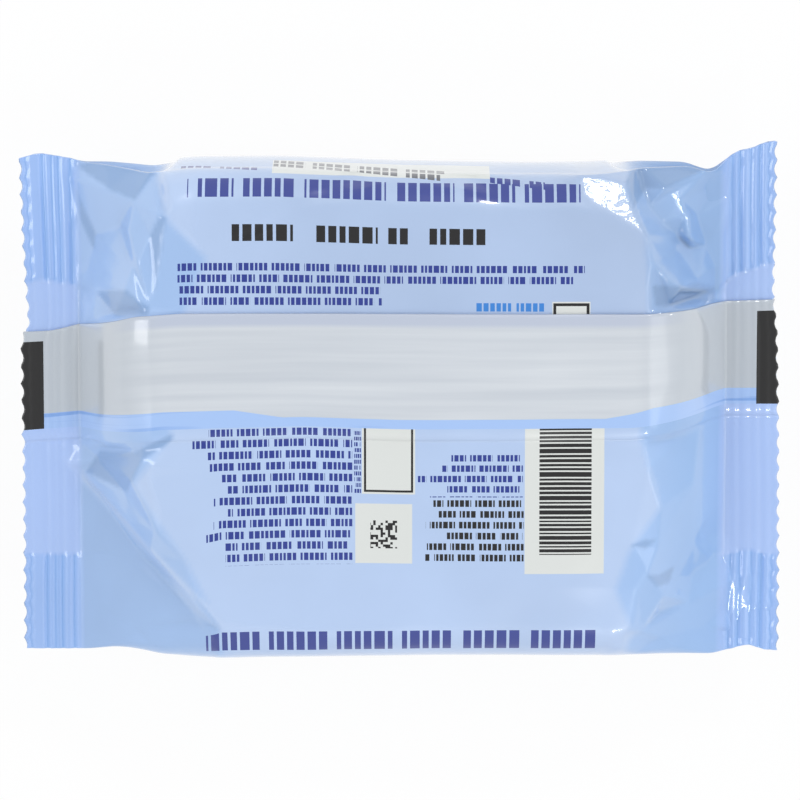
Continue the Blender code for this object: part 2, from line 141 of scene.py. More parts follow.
FIN_EDGE = ((-80, 14.3), (-73, 14.6), (-62, 17.3), (-54, 19.6), (-45, 20.3), (50, 20.1), (64, 20.7), (80, 21.2))
# Corners by (end, side): tuck depth; y where the facet's upper fold leaves the seal; its reach along x; its bank
CORNERS = {
    (-1, -1): (20.6, -15.5, 30.5, 9.5),
    (-1, 1): (26.8, 25.0, 19.0, 6.0),
    (1, -1): (20.8, -31.0, 23.0, 8.0),
    (1, 1): (25.9, 22.0, 25.0, 7.0),
}
FRONT_FACET = (26.0, 21.0, 8.0)  # the last three of these for the front panel's facets, which are all alike


def blend(start, end, share):
    return start + (end - start) * share


def ease(share):
    share = np.clip(share, 0.0, 1.0)
    return share * share * (3.0 - 2.0 * share)


def traced(points, x):
    """Metres along a line given by points in mm, with rounded joints."""
    xs, ys = (np.array(column) * MM for column in zip(*points))
    shifts = (-1.0, -0.5, 0.0, 0.5, 1.0)
    return sum(np.interp(x + LINE_SPREAD * shift, xs, ys) for shift in shifts) / len(shifts)


def seal_of(x):
    return np.where(x < 0, -LEFT_SEAL, RIGHT_SEAL)


def past_seal(x):
    """Distance from the seal's inner edge towards the middle of the pack."""
    return seal_of(x) - np.abs(x)


def slope_length(x):
    return seal_of(x) - np.where(x < 0, -LEFT_STACK, RIGHT_STACK)


def by_corner(x, y, item):
    """One value of CORNERS, for the corner that each point lies nearest."""
    left = np.where(y > 0, CORNERS[-1, 1][item], CORNERS[-1, -1][item])
    right = np.where(y > 0, CORNERS[1, 1][item], CORNERS[1, -1][item])
    return np.where(x < 0, left, right) * MM


def panel_rise(x):
    """0 at the seal and 1 over the stack, along the middle of a panel."""
    share = np.clip(past_seal(x) / slope_length(x), 0.0, 1.0)
    return 1.0 - (1.0 - share) ** SHOULDER


def rise(x, y, front):
    """How full the pack is at each point, from 0 at the seal to 1 over the stack."""
    side = np.where(y > 0, 1.0, -1.0)
    if front:
        start, reach, bank = side * FRONT_FACET[0] * MM, FRONT_FACET[1] * MM, FRONT_FACET[2] * MM
    else:
        start, reach, bank = (by_corner(x, y, item) for item in (1, 2, 3))
    run, climb = reach, side * FOLD_END - start
    length = np.hypot(run, climb)
    inside = (past_seal(x) * np.abs(climb) - (y - start) * side * run) / length
    along = np.clip((past_seal(x) * run + (y - start) * side * np.abs(climb)) / length**2, 0.0, 1.0)
    full = panel_rise(x)
    low = np.minimum(np.clip(past_seal(x) / reach, 0.0, 1.0), full)
    width = bank * blend(1.0, BANK_NARROWS, along)
    return blend(low, full, np.clip(inside / width, 0.0, 1.0))


def side_edge(x, side):
    return traced(HIGH_EDGE if side > 0 else LOW_EDGE, x)


def doubled(x, y):
    """0 where the seal has two films and 1 over a tuck, where it has four."""
    edge = np.where(y > 0, side_edge(x, 1), -side_edge(x, -1))
    return ease((np.abs(y) - (edge - by_corner(x, y, 0))) / TUCK_STEP)


def half_thick(x, y):
    return blend(SEAL_THICK, TUCK_THICK, doubled(x, y)) / 2.0


def pressed(x, y):
    """How deep a point of the seal lies in the hollows that the sealing jaws press across it."""
    out = -past_seal(x) + CRIMP_WANDER * np.sin(y / CRIMP_WAVE + 2.0 * np.sign(x))
    depth = 0.0
    for end, hollows in CRIMPS.items():
        for middle, strength in hollows:
            hollow = strength * np.exp(-(((out - middle * MM) / CRIMP_WIDTH) ** 2))
            depth = depth + np.where(np.sign(x) == end, hollow, 0.0)
    return np.where(past_seal(x) < 0.0, depth, 0.0)


def crimp(x, y):
    return -CRIMP_DEPTH * pressed(x, y) * blend(CRIMP_FAINT, 1.0, doubled(x, y))


# The wipes' stack under the film is not quite flat: broad shallow swells, each by its direction (x, y), its
# wavelength in mm and its height in mm
SWELLS = ((0.9, 0.4, 62.0, 0.5), (-0.5, 0.86, 38.0, 0.3), (0.3, -0.95, 23.0, 0.14), (0.97, -0.2, 17.0, 0.09))
SWELL_PHASE = 1.7


def swell_height(x, y):
    total = 0.0
    for number, (dx, dy, wavelength, height) in enumerate(SWELLS):
        phase = SWELL_PHASE * number
        total = total + height * MM * np.sin(2 * math.pi * (x * dx + y * dy) / (wavelength * MM) + phase)
    return total


def smooth_height(x, y):
    """The back panel without its creases."""
    over_seal = BACK_HEIGHT - SEAL_HEIGHT - SEAL_THICK / 2
    full = rise(x, y, front=False)
    thick = blend(half_thick(x, y), SEAL_THICK / 2, full)
    return SEAL_HEIGHT + crimp(x, y) + thick + over_seal * full + swell_height(x, y) * full


def corner_radius(x, y, front):
    return blend(FOLD_RADIUS, STACK_CORNER, rise(x, y, front) ** CORNER_SHRINKS)


def side_full(x, side):
    edge = side_edge(x, side)
    return (rise(x, edge, False) + rise(x, edge, True)) / 2


def panel_start(x, side):
    """y where a back panel meets its rounded side edge."""
    edge = side_edge(x, side)
    return edge - side * (SIDE_BULGE * side_full(x, side) + corner_radius(x, edge, False))


def shoulder_drop(x, y):
    """How far the rounded side edge falls below the panel's own height."""
    total = 0.0
    for side in (-1, 1):
        radius = corner_radius(x, side_edge(x, side), False)
        past = np.clip(side * (y - panel_start(x, side)), 0.0, radius)
        total = total + radius - np.sqrt(radius**2 - past**2)
    return total


# Creases of the back film, each a line of points (x, y, height) in mm: height is how far the film stands out there
# (+) or in (-). Between the creases it is flat, as stiff film is.
CREASES = (
    # Upper left corner
    ((-67.2, 49.3, -0.6), (-60.0, 44.6, 0.9), (-54.7, 42.9, 0.6), (-49.4, 50.2, 0.2)),
    ((-61.3, 50.6, -1.8), (-60.0, 44.6, 0.9)),
    ((-53.6, 50.2, -1.8), (-54.7, 42.9, 0.6)),
    ((-68.9, 47.0, 0.0), (-63.4, 35.0, -1.0), (-63.9, 31.7, -0.8), (-67.0, 38.5, 0.1), (-68.9, 47.0, 0.0)),
    ((-57.5, 37.8, -0.6), (-54.6, 30.0, -0.4), (-51.3, 22.4, -0.6)),
    ((-54.7, 42.9, 0.6), (-51.1, 36.2, -0.9), (-50.6, 29.0, -0.5), (-51.3, 22.4, -0.6)),
    ((-55.6, 37.0, 0.6), (-53.4, 30.5, 0.7), (-51.3, 22.4, -0.6)),
    ((-51.1, 36.2, -0.9), (-48.8, 40.6, 1.0), (-47.7, 39.9, 1.1), (-49.0, 31.0, 0.5), (-50.2, 24.9, -0.3)),
    ((-50.4, 49.1, 0.6), (-47.7, 39.9, 1.1), (-39.5, 31.7, 0.2)),
    ((-63.2, 23.4, -0.3), (-56.4, 24.6, 0.5), (-53.5, 22.6, 0.3), (-51.5, 20.0, -0.6)),
    ((-63.2, 23.4, -0.3), (-59.1, 18.7, -2.2), (-51.5, 20.0, -0.6)),
    # Upper right corner
    ((46.2, 47.1, -1.1), (48.5, 50.9, -1.4), (50.1, 44.6, -2.8), (50.2, 36.2, 0.9)),
    ((68.6, 50.6, 0.3), (63.0, 48.2, 1.5), (54.7, 45.4, 1.2), (50.1, 44.6, -2.8)),
    ((68.4, 47.0, 0.0), (66.0, 44.5, -0.9), (61.6, 39.0, -0.2)),
    ((51.2, 42.0, -1.2), (54.0, 38.5, 0.7), (57.0, 35.8, 0.5), (60.5, 32.6, -0.4)),
    ((50.2, 36.2, 0.9), (57.0, 32.4, -1.0), (60.5, 32.6, -0.4), (63.7, 33.0, -0.6), (65.9, 35.5, 0.1),
     (68.4, 42.5, 0.2)),
    ((50.2, 36.2, 0.9), (51.6, 31.0, 0.4), (54.7, 27.1, 0.9), (57.4, 25.3, 1.2), (61.3, 26.5, 0.9),
     (65.9, 28.7, 0.0)),
    ((50.2, 36.2, 0.9), (50.5, 26.0, 0.5), (50.8, 20.8, 0.1)),
    ((51.6, 31.0, 0.4), (55.1, 21.7, -1.6), (65.9, 23.5, -0.6)),
    # Lower left corner
    ((-67.2, -15.2, 0.2), (-56.5, -24.0, 1.0), (-51.7, -29.6, 1.2), (-42.0, -39.0, 0.8), (-36.4, -46.0, -0.2)),
    ((-64.0, -18.5, -0.5), (-53.5, -31.8, -0.3), (-42.0, -42.8, -0.4)),
    ((-67.2, -15.2, 0.2), (-56.8, -17.9, -1.2), (-55.2, -14.5, 0.0), (-53.0, -10.1, 0.6), (-46.6, -5.7, 0.0)),
    ((-56.8, -17.9, -0.9), (-50.0, -24.5, -0.4), (-44.0, -30.8, 0.1), (-37.9, -42.6, 0.3)),
    ((-70.0, -13.5, 0.0), (-63.0, -11.9, -2.0), (-54.6, -8.9, -1.3), (-52.4, -7.0, -0.9)),
    ((-63.0, -11.9, -2.0), (-55.2, -14.5, 0.0)),
    ((-67.0, -9.0, 0.4), (-63.0, -11.9, -2.0)),
    # Lower right corner
    ((49.2, -4.8, 0.3), (51.0, -12.0, 0.9), (53.5, -19.6, 0.9), (52.9, -28.5, -0.3), (47.5, -27.3, 0.0)),
    ((47.5, -27.3, 0.0), (49.0, -36.5, 0.3), (47.8, -45.3, -0.2), (49.9, -46.0, 0.3), (60.2, -41.4, 1.0)),
    ((52.9, -28.5, -0.3), (51.0, -33.1, 0.2), (57.4, -36.2, -1.0), (54.7, -38.6, 0.7), (49.9, -46.0, 0.3)),
    ((53.5, -19.6, 0.9), (60.9, -15.6, 0.9), (61.3, -29.1, -0.8), (57.4, -36.2, -1.0)),
    ((61.3, -29.1, -0.8), (65.5, -33.0, 0.6), (60.2, -41.4, 1.0), (64.5, -47.5, -0.4)),
    # Slack film along the long edges
    ((-37.0, -50.0, -0.3), (-29.0, -44.5, 0.3), (-20.0, -49.0, 0.0)),
    ((-20.0, 42.0, 0.2), (-14.0, 46.0, -0.6), (-9.0, 49.5, 0.2)),
    ((12.0, 49.5, 0.2), (20.0, 46.0, -0.5), (29.0, 43.5, 0.2)),
)
# Facets that are pulled flat and lit up by a lamp: outline of (x, y) in mm, tilt and the way it faces in degrees,
# and the height of its first point over the smooth film in mm
FLATS = (
    (((42.9, 40.9), (36.8, 44.7), (36.8, 48.0), (41.9, 47.9), (46.2, 47.1), (48.1, 41.4), (50.2, 36.2)),
     23.0, 70.5, 0.2),
    (((55.4, 44.5), (57.9, 43.0), (59.8, 39.5), (60.0, 34.4), (59.0, 36.2), (58.5, 39.3), (56.9, 42.0)),
     30.7, 19.0, 0.3),
    (((71.0, -44.2), (69.7, -38.2), (72.8, -43.0), (71.8, -45.7), (70.7, -48.6), (68.6, -44.7)),
     9.7, -66.0, 0.2),
)
# Small random creases only where no wipes back the film
CRUMPLES_PER_END = 18
CRUMPLE_X, CRUMPLE_Y = (53, 66), (-50, 49)  # in mm: between the stack and the seals
CRUMPLE_RISE = 0.35
CRUMPLE_APART = 3.4
CREASE_SEED = 11
# x in mm of the lines of points that keep the film level, in each seal and over the stack
LEVEL_SEAL = (82.0, 75.5, 67.6)
LEVEL_STACK = (-42.0, -20.0, 0.0, 20.0, 32.0)
RASTER = 0.25  # mm between the points at which the creased film is worked out
RASTER_X, RASTER_Y = 82.0, 60.0  # how far they go from the pack's middle, in mm
SAME_POINT = 0.02  # mm within which two points of the creases are one
CREASE_SOFTNESS = 1  # passes of smoothing, each over one raster step


def inside_line(line, x, y):
    """1 inside a closed line of (x, y) points in mm, 0 outside it."""
    inside = np.zeros(np.broadcast(x, y).shape, dtype=bool)
    for (ax, ay), (bx, by) in zip(line, line[1:] + line[:1]):
        if ay != by:
            inside ^= ((ay > y) != (by > y)) & (x < (bx - ax) * (y - ay) / (by - ay) + ax)
    return inside.astype(float)


def bare_height(x, y):
    """Height in mm of the film without its creases, at (x, y) in mm."""
    return (smooth_height(x * MM, y * MM) - shoulder_drop(x * MM, y * MM)) / MM


def crease_points():
    """Points (x, y, height, creased) in mm and the edges between them.

    They are the flat facets, the creases, the random crumples and the level surroundings.
    """
    points, edges = [], []
    for outline, tilt, facing, over in FLATS:
        xs, ys = (np.array(column) for column in zip(*outline))
        bare = bare_height(xs, ys)
        downhill = (xs - xs[0]) * math.cos(math.radians(facing)) + (ys - ys[0]) * math.sin(math.radians(facing))
        heights = bare[0] + over - math.tan(math.radians(tilt)) * downhill - bare
        first, count = len(points), len(outline)
        start = 1 if inside_line(outline[1:], xs[0], ys[0]) else 0
        edges += [(first + n, first + (n + 1 if n + 1 < count else start)) for n in range(start, count)]
        points += [(float(x), float(y), float(height), 1.0) for x, y, height in zip(xs, ys, heights)]
    for line in CREASES:
        for number, point in enumerate(line):
            points.append((*point, 1.0))
            if number:
                edges.append((len(points) - 2, len(points) - 1))
    level = [(end * x, y, 0.0, 0.0) for end in (-1, 1) for x in LEVEL_SEAL for y in range(-60, 61, 8)]
    level += [(x, y, 0.0, 0.0) for x in LEVEL_STACK for y in range(-60, 61, 12)]
    random = np.random.default_rng(CREASE_SEED)
    for end in (-1, 1):
        for _ in range(CRUMPLES_PER_END):
            x, y = end * random.uniform(*CRUMPLE_X), random.uniform(*CRUMPLE_Y)
            level.append((x, y, random.uniform(-1, 1) * CRUMPLE_RISE, 1.0))
    for point in level:
        if all(math.dist(point[:2], other[:2]) > CRUMPLE_APART for other in points):
            points.append(point)
    return points, edges


def creased_raster():
    """Height in mm of the creased film over the smooth one, on a fine square raster, flat between its creases."""
    points, edges = crease_points()
    flat = [Vector(point[:2]) for point in points]
    corners, _, faces, origins = geometry.delaunay_2d_cdt(flat, edges, [], 0, SAME_POINT)[:4]
    base = bare_height(*(np.array([corner[axis] for corner in corners]) for axis in (0, 1)))
    heights = np.array([points[origin[0]][2:] if origin else (0.0, 1.0) for origin in origins])
    # Height over the smooth film, height over a level plane, and how creased the film is: creased film is flat
    heights = np.column_stack([heights[:, 0], heights[:, 0] + base, heights[:, 1]])
    xs = np.arange(-RASTER_X, RASTER_X, RASTER)
    ys = np.arange(-RASTER_Y, RASTER_Y, RASTER)
    raster = np.zeros((len(xs), len(ys), 3))
    for face in faces:
        (ax, ay), (bx, by), (cx, cy) = (corners[n] for n in face)
        rows = slice(*np.searchsorted(xs, (min(ax, bx, cx), max(ax, bx, cx) + RASTER)))
        columns = slice(*np.searchsorted(ys, (min(ay, by, cy), max(ay, by, cy) + RASTER)))
        x, y = xs[rows, None], ys[None, columns]
        area = (by - cy) * (ax - cx) + (cx - bx) * (ay - cy)
        first = ((by - cy) * (x - cx) + (cx - bx) * (y - cy)) / area
        second = ((cy - ay) * (x - cx) + (ax - cx) * (y - cy)) / area
        third = 1.0 - first - second
        inside = (first >= -1e-6) & (second >= -1e-6) & (third >= -1e-6)
        shares = (share[..., None] for share in (first, second, third))
        value = sum(share * heights[number] for share, number in zip(shares, face))
        raster[rows, columns] = np.where(inside[..., None], value, raster[rows, columns])
    raster[..., 1] -= bare_height(xs[:, None], ys[None, :])
    raster = blend(raster[..., 0], raster[..., 1], np.clip(4.0 * raster[..., 2] - 3.0, 0.0, 1.0))
    for _ in range(CREASE_SOFTNESS):
        raster[1:-1] = (raster[:-2] + 2.0 * raster[1:-1] + raster[2:]) / 4.0
        raster[:, 1:-1] = (raster[:, :-2] + 2.0 * raster[:, 1:-1] + raster[:, 2:]) / 4.0
    return raster


CREASED = creased_raster()


def sampled(raster, x, y):
    """A raster's value between its points."""
    across, along = np.broadcast_arrays((x / MM + RASTER_X) / RASTER, (y / MM + RASTER_Y) / RASTER)
    # Short of the last point, so that there is always a next one
    across = np.clip(across, 0, raster.shape[0] - 2.001)
    along = np.clip(along, 0, raster.shape[1] - 2.001)
    i, j = across.astype(int), along.astype(int)
    a, b = across - i, along - j
    low = blend(raster[i, j], raster[i + 1, j], a)
    high = blend(raster[i, j + 1], raster[i + 1, j + 1], a)
    return blend(low, high, b)


def fold_height(x, y):
    beyond_fin = np.maximum(y - traced(FIN_EDGE, x), traced(FIN_BASE, x) - FIN_ROLL - y)
    return sampled(CREASED, x, y) * MM * ease(beyond_fin / FIN_CLEARS + 0.1)


def back_height(x, y):
    return smooth_height(x, y) + fold_height(x, y)


def front_height(x, y):
    full = rise(x, y, front=True)
    thick = blend(half_thick(x, y), SEAL_THICK / 2, full)
    return SEAL_HEIGHT + crimp(x, y) - thick - (SEAL_HEIGHT - SEAL_THICK / 2) * full


def steps(count, first=0):
    """Even shares from 0 to 1, from the given one on."""
    return np.arange(first, count + 1) / count


def rounded(start, corner, end, shares):
    """Rows of a rounded edge from start to end, pulled towards its corner."""
    angle = shares[:, None] * math.pi / 2
    to_end, to_start = 1.0 - np.cos(angle), 1.0 - np.sin(angle)
    return [corner[i] + (start[i] - corner[i]) * to_start + (end[i] - corner[i]) * to_end for i in (0, 1)]


def bowed(outer, inner, bulge, shares):
    """Rows of one face of the side, from its outer edge to the tuck's fold, bowed outwards by the wipes."""
    share = shares[:, None]
    return [blend(outer[0], inner[0], share) + bulge * share * (1.0 - share), blend(outer[1], inner[1], share)]


def side_rows(x, side):
    """Rows of (y, z) down one side of the pack: rounded edge, tucked gusset, rounded edge."""
    edge, full = side_edge(x, side), side_full(x, side)
    top, bottom = smooth_height(x, edge), front_height(x, edge)
    top_radius, bottom_radius = corner_radius(x, edge, False), corner_radius(x, edge, True)
    tuck = by_corner(x, edge, 0) * (1.0 - full) ** TUCK_TAPER
    middle = SEAL_HEIGHT + crimp(x, edge)
    inset = side * SIDE_BULGE * full
    shoulder, hip = (edge - inset, top - top_radius), (edge - inset, bottom + bottom_radius)
    tuck_top = (edge - side * tuck, middle + TUCK_SLIT / 2)
    tuck_bottom = (edge - side * tuck, middle - TUCK_SLIT / 2)
    over = rounded((shoulder[0] - side * top_radius, top), (shoulder[0], top), shoulder, steps(SHOULDER_ROWS, 1))
    over[1] = back_height(x, over[0]) - shoulder_drop(x, over[0])
    shoulder = (over[0][-1], over[1][-1])
    return [
        over,
        bowed(shoulder, tuck_top, inset, steps(GUSSET_ROWS, 1)),
        bowed(hip, tuck_bottom, inset, steps(GUSSET_ROWS)[::-1]),
        rounded(hip, (hip[0], bottom), (hip[0] - side * bottom_radius, bottom), steps(HIP_ROWS, 1)),
    ]


def panel_rows(x, start, end, shares, height):
    y = blend(start, end, shares[:, None])
    return [y, height(x, y)]


def fin_lift(x):
    """The stiff fin bridges the hollow between the stack and the seal."""
    share = np.clip(past_seal(x) / slope_length(x), 0.0, 1.0)
    return FIN_BRIDGE * np.sin(math.pi * share) ** 2


# The fin's own creases: (x, y from its base, reach along x, reach across, height) in mm
FIN_WAVES = ((-61, 17, 9, 6, 0.5), (-54, 8, 6, 10, -0.4), (-47, 14, 7, 9, 0.35), (-40, 5, 14, 3, 0.3),
             (-15, 3, 20, 2.2, 0.25), (22, 4, 22, 2.4, 0.25), (46, 12, 7, 10, 0.35), (55, 6, 6, 8, -0.35),
             (61, 13, 7, 8, 0.35), (0, 16, 26, 5, 0.15))


def fin_wave(x, across):
    """Soft lengthwise waves that the sealing wheels leave in the fin, and the bends of its ends."""
    beside_fold, off_seal = ease(1.0 - across / WHEEL_REACH), ease(past_seal(x) / (5.0 * MM))
    total = WHEEL_MARK * np.sin(across / WHEEL_WAVE) * beside_fold * off_seal
    for cx, cy, wide, tall, height in FIN_WAVES:
        total = total + height * np.exp(-((x / MM - cx) / wide) ** 2 - ((across / MM - cy) / tall) ** 2)
    return total * MM * ease(past_seal(x) / (2.0 * MM))


def film_rows(x):
    """The folded film as parts, each rows of (y, z) over all stations x, in order round the pack."""
    base, edge = traced(FIN_BASE, x), traced(FIN_EDGE, x)
    shares = steps(FIN_ROWS)[:, None]
    run = blend(base + FIN_ROLL / 2, edge, shares)
    lift = fin_lift(x) * ease(shares * 3.0)
    fin_under = smooth_height(x, run) + FIN_GAP + lift + fin_wave(x, run - base) * ease(shares * 4.0)
    fin_over = fin_under + FIN_THICK
    few = slice(None, None, HIDDEN_STEP)
    foot = base - FIN_ROLL
    foot_height = back_height(x, foot)
    roll_top = (run[0], fin_over[0])
    roll = rounded((foot, foot_height), (foot + FIN_ROLL * 0.2, fin_over[0]), roll_top, steps(ROLL_ROWS, 1)[:-1])
    tip = [(edge + FIN_THICK * 0.45)[None, :], ((fin_under[-1] + fin_over[-1]) / 2)[None, :]]
    root = [(run[0] - FIN_ROLL / 4)[None, :], (smooth_height(x, base) + FIN_GAP / 2)[None, :]]
    high, low = side_rows(x, 1), side_rows(x, -1)
    return [
        roll,
        [run, fin_over],
        tip,
        [run[few][::-1], fin_under[few][::-1]],
        root,
        [run[few], back_height(x, run[few])],
        panel_rows(x, edge, panel_start(x, 1), steps(UPPER_ROWS, 1), back_height),
        *high,
        panel_rows(x, high[-1][0][-1], low[-1][0][-1], steps(FRONT_ROWS, 1)[:-1], front_height),
        *[[rows[0][::-1], rows[1][::-1]] for rows in low[::-1]],
        panel_rows(x, panel_start(x, -1), foot, steps(LOWER_ROWS), back_height),
    ]


def stations():
    """x of each column of the grid: fine in the crimps, finer over the slopes than over the stack."""
    stretches = (  # from, to, and how many columns
        (-HALF_LENGTH, LEFT_SEAL, 36),
        (LEFT_SEAL, LEFT_STACK, 40),
        (LEFT_STACK, -36.0 * MM, 22),
        (-36.0 * MM, 34.0 * MM, 34),
        (34.0 * MM, RIGHT_STACK, 26),
        (RIGHT_STACK, RIGHT_SEAL, 42),
        (RIGHT_SEAL, HALF_LENGTH, 34),
    )
    places = [blend(start, end, steps(count)[:-1]) for start, end, count in stretches]
    return np.concatenate(places + [[HALF_LENGTH]])


columns = stations()
parts = film_rows(columns)
film_y = np.concatenate([part[0] for part in parts])
film_z = np.concatenate([part[1] for part in parts])
row_part = np.concatenate([np.full(len(part[0]), number) for number, part in enumerate(parts)])

# The parts that film_rows returns, by number. Those not named here are the back panels and the edges beside them.
ROLL, FIN_TOP, FIN_TIP, FIN_UNDER, FIN_ROOT, PANEL_BENEATH = range(6)
HIGH_GUSSET, LOW_GUSSET = (8, 9), (13, 14)
FRONT_PANEL = (10, 11, 12)  # with its rounded edges, of which the last begins the low side
FIN_PARTS = (FIN_TOP, FIN_TIP, FIN_UNDER)

# The cut ends are not quite straight, and the fin sticks out a little at the left one
into_seal = np.clip(-past_seal(columns) / (HALF_LENGTH - seal_of(columns)), 0.0, 1.0)
cut = np.where(columns < 0, traced(LEFT_END, film_y) + HALF_LENGTH, traced(RIGHT_END, film_y) - HALF_LENGTH)
# Pointed teeth with round hollows between them
scallops = SCALLOP_DEPTH * np.abs(np.sin(math.pi * film_y / SCALLOP_PITCH))
films_between = (FIN_UNDER, FIN_ROOT, PANEL_BENEATH, *HIGH_GUSSET, *LOW_GUSSET)
scallops[np.isin(row_part, films_between)] += INNER_SET_BACK
scallops[np.isin(row_part, FRONT_PANEL)] += FRONT_SET_BACK
near_cut = np.clip(1.0 - (HALF_LENGTH - np.abs(columns)) / SCALLOP_REACH, 0.0, 1.0)
film_x = columns + cut * into_seal - np.sign(columns) * scallops * near_cut

# Flat-film coordinate of each row, measured where the pack is full and level: y on the back panels, going on from
# there over the sides. The fin's is 1 m plus the distance from its free edge, so that its print is set apart.
middle_column = len(columns) // 2
level_y, level_z = film_y[:, middle_column], film_z[:, middle_column]
across = np.concatenate([[0.0], np.cumsum(np.hypot(np.diff(level_y), np.diff(level_z)))])
panel_starts = int(np.argmax(row_part == PANEL_BENEATH))
print_v = across - across[panel_starts] + level_y[panel_starts]
low_side_on = row_part >= FRONT_PANEL[-1]
print_v[low_side_on] = across[low_side_on] - across[-1] + level_y[-1]
print_v[row_part == ROLL] = level_y[row_part == ROLL]
fin_rows = np.isin(row_part, FIN_PARTS)
fin_top_end = int(np.argmax(row_part == FIN_TIP))
ON_FIN = 1.0
print_v[fin_rows] = ON_FIN + np.abs(across[fin_rows] - across[fin_top_end])

# Where the wipes lie right behind the film, as (x, y) in mm seen from above. It holds for the back, the sides and
# the front alike.
CONTACT = ((-50.4, 52), (-47.7, 39.9), (-39.5, 31.7), (-46.0, 16.0), (-47.0, -5.0), (-55.0, -15.5), (-44.0, -30.8),
           (-37.5, -44.0), (-35.0, -60), (45.0, -60), (47.8, -45.3), (44.4, -36.8), (47.0, -29.0), (53.5, -19.6),
           (49.2, -4.8), (50.8, 20.8), (50.2, 36.2), (46.0, 45.0), (48.5, 52))
# The double ridge across the lower left corner, which rests on the edge of the wipes
RIDGE = ((-66.8, -14.6), (-36.4, -42.6), (-35.6, -44.6), (-67.2, -16.6))
# Facets painted darker: partly where a second film lies close behind the first, folded in at the corners, and partly
# as painted shade on facets that turn away from the light and just above the fin
SECOND_FILM_AND_SHADE = (
    ((-67.4, 49.2), (-61.3, 50.8), (-49.3, 50.8), (-54.3, 43.1), (-59.6, 44.8)),
    ((-68.8, 47.1), (-63.2, 35.3), (-63.7, 31.9), (-66.9, 38.5)),
    ((-48.7, 40.6), (-50.9, 36.3), (-50.1, 25.1), (-47.6, 40.0)),
    ((-62.9, 23.7), (-56.0, 25.0), (-53.2, 22.9), (-51.1, 21.6), (-51.3, 20.2), (-58.7, 19.1)),
    ((46.2, 47.2), (48.5, 51.2), (54.3, 51.4), (59.1, 50.2), (63.3, 48.9), (54.3, 45.2), (50.7, 45.5),
     (47.8, 42.0)),
    ((51.5, 26.1), (54.9, 25.9), (62.1, 25.4), (65.7, 24.0), (65.7, 21.3), (59.8, 21.5), (52.2, 21.8)),
    ((-65.9, -14.9), (-56.5, -17.4), (-54.9, -14.1), (-52.8, -9.8), (-46.6, -5.6), (-46.6, -4.2), (-52.2, -7.1),
     (-54.3, -8.5), (-62.7, -9.9)),
    ((47.4, -27.6), (50.0, -26.5), (52.8, -26.4), (50.6, -28.4)),
    ((50.7, -33.8), (53.8, -34.2), (57.0, -33.0), (55.9, -36.4), (53.0, -36.6)),
)
BELOW_RIDGE = ((-67.2, -17.5), (-37.0, -45.2), (-38.0, -54.0), (-67.2, -54.0))
# Radius in mm of the circle that blurs an area's edge
SHARP, SOFT, SOFTER = 0.3, 0.6, 0.7
RIDGE_SHARE = 0.8  # how much the ridge counts as film with wipes behind it
BELOW_SHARE = 0.35  # how much the film below the ridge counts as film with a second film behind it
LAYERS_FLAT, LAYERS_AND_HOLLOW_SHADE = 0.45, 1.1  # how much four films deepen the tint between the hollows, and in the hollows with painted shade added


def softened(lines, reach):
    """How much of a small circle round each point of the film lies inside any of the lines."""
    turns = np.linspace(0.0, 2.0 * math.pi, 12, endpoint=False)
    return sum(
        inside_line(line, film_x / MM + reach * math.cos(turn), film_y / MM + reach * math.sin(turn))
        for line in lines
        for turn in turns
    ) / len(turns)


contact = softened([CONTACT], SOFTER) + RIDGE_SHARE * softened([RIDGE], SHARP)
# This mask holds a second film behind the first and also painted shade on dark facets, above the fin most of all.
second = softened(SECOND_FILM_AND_SHADE, SHARP) + BELOW_SHARE * softened([BELOW_RIDGE], SHARP)
crinkles = softened([outline for outline, *_ in FLATS], SOFT)
above_seal = film_z > SEAL_HEIGHT
second, crinkles = second * above_seal, crinkles * above_seal
# Painted shade: where four films lie in a tuck, they are tinted darker still in the jaws' hollows.
hollow_for_shade = pressed(columns[None, :], film_y)
layers = doubled(columns[None, :], film_y) * blend(LAYERS_FLAT, LAYERS_AND_HOLLOW_SHADE, hollow_for_shade)

PRINT_SLOT, FIN_SLOT, CUT_SLOT = range(3)
sheet = bmesh.new()
bmesh.ops.create_grid(sheet, x_segments=len(columns) - 1, y_segments=len(film_y), size=0.5)
uv = sheet.loops.layers.uv.new("film")
wipes_behind = sheet.verts.layers.float.new("wipes_behind")
film_layers_and_hollow_shade = sheet.verts.layers.float.new("film_layers_and_hollow_shade")
second_film_and_shade = sheet.verts.layers.float.new("second_film_and_shade")
crinkled = sheet.verts.layers.float.new("crinkled")
place = {}
for vert in sheet.verts:
    column = round((vert.co.x + 0.5) * (len(columns) - 1))
    row = round((vert.co.y + 0.5) * len(film_y))
    place[vert] = (column, row)
    row %= len(film_y)
    vert[wipes_behind] = float(contact[row, column])
    vert[film_layers_and_hollow_shade] = float(layers[row, column])
    vert[second_film_and_shade] = float(second[row, column])
    vert[crinkled] = float(crinkles[row, column])
    vert.co = (film_x[row, column], film_y[row, column], film_z[row, column])
for face in sheet.faces:
    rows = [place[loop.vert][1] for loop in face.loops]
    first = min(rows)
    on_fin = row_part[first] in FIN_PARTS or row_part[min(first + 1, len(row_part) - 1)] == FIN_TOP
    face.material_index = FIN_SLOT if on_fin else PRINT_SLOT
    face.smooth = True
    for loop, row in zip(face.loops, rows):
        value = print_v[row % len(film_y)]
        if on_fin != (value >= ON_FIN):
            other = first if on_fin == (print_v[first] >= ON_FIN) else (first + 1) % len(film_y)
            value = print_v[other]
        loop[uv].uv = (film_x[row % len(film_y), place[loop.vert][0]], value)
# The first and the last row are the same line on the pack, so the sheet is joined there.
joint = [vert for vert in sheet.verts if place[vert][1] in (0, len(film_y))]
bmesh.ops.remove_doubles(sheet, verts=joint, dist=1e-6)

